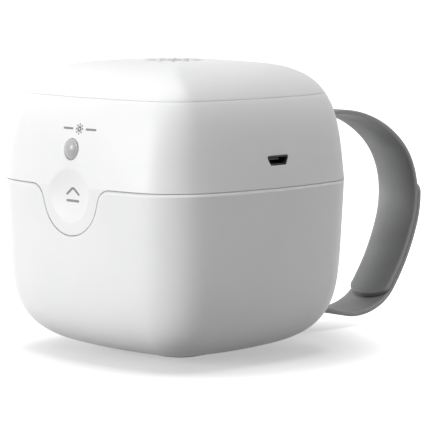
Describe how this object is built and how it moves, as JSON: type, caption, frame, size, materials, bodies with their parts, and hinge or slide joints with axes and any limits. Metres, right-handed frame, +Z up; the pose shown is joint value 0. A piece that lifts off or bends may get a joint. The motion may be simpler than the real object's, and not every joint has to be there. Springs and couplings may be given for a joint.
{
  "type": "pacifier sterilizer case",
  "caption": "Rounded cube-shaped case with a hinged lid, ultraviolet lamps under a window in the lid, a mirror-lined cup, a press button, a charging port and a loop strap.",
  "frame": {"origin": "middle of the rest pad's underside, on the floor under the middle of the body", "axes": "+Z up, -Y the front with the button and tab, +Y the hinge and strap, +X the side with the charging port"},
  "size_m": [0.0838, 0.1352, 0.082],
  "materials": {
    "white_shell": "satin-gloss white ABS",
    "white_inner": "plain white ABS",
    "mirror_liner": "bright aluminised cup",
    "clear_rack": "frosted polypropylene",
    "magnet": "nickel-plated magnet",
    "steel": "stainless steel",
    "soft_grey": "soft grey silicone",
    "strap_silicone": "matt grey silicone",
    "grey_plastic": "fine-grained grey plastic",
    "button_grey": "satin grey translucent button",
    "quartz": "polished quartz window",
    "board_aluminium": "aluminium-backed lamp board",
    "lamp_ceramic": "ceramic lamp package",
    "board_green": "green solder resist",
    "chip_black": "black moulded parts",
    "port_metal": "stamped steel socket",
    "cell_foil": "laminate foil cell"
  },
  "bodies": {
    "base": {"base_shell": "white_shell", "base_liner": "mirror_liner", "pacifier_rack": "clear_rack", "base_magnets": "magnet", "rest_pad": "soft_grey", "hinge_pins": "steel", "strap_bracket": "grey_plastic", "bracket_screws": "steel", "strap": "strap_silicone", "strap_studs": "grey_plastic"},
    "lid": {"lid_band": "white_shell", "lid_cap": "white_shell", "lid_ceiling": "white_inner", "lid_gasket": "soft_grey", "lid_magnets": "magnet", "uv_window": "quartz", "lid_screws": "steel", "lamp_reflector": "white_inner", "lamp_board": "board_aluminium", "uv_lamps": "lamp_ceramic", "main_board": "board_green", "board_screws": "steel", "board_parts": "chip_black", "lid_sensor": "chip_black", "usb_socket": "port_metal", "usb_tongue": "chip_black", "cell_tray": "white_inner", "battery_cell": "cell_foil", "button_switch": "chip_black"},
    "button": {"press_button": "button_grey", "switch_plunger": "white_inner"}
  },
  "joints": [
    {"name": "lid_open", "type": "hinge", "parent": "base", "child": "lid", "pos_m": [0, 0.0416, 0.049], "axis": [-1, 0, 0], "range_deg": [0, 95], "deforming": ["strap"]},
    {"name": "button_press", "type": "slide", "parent": "lid", "child": "button", "axis": [0, 1, 0], "range_m": [0, 0.0006], "stiffness_N_per_m": 1500}
  ]
}
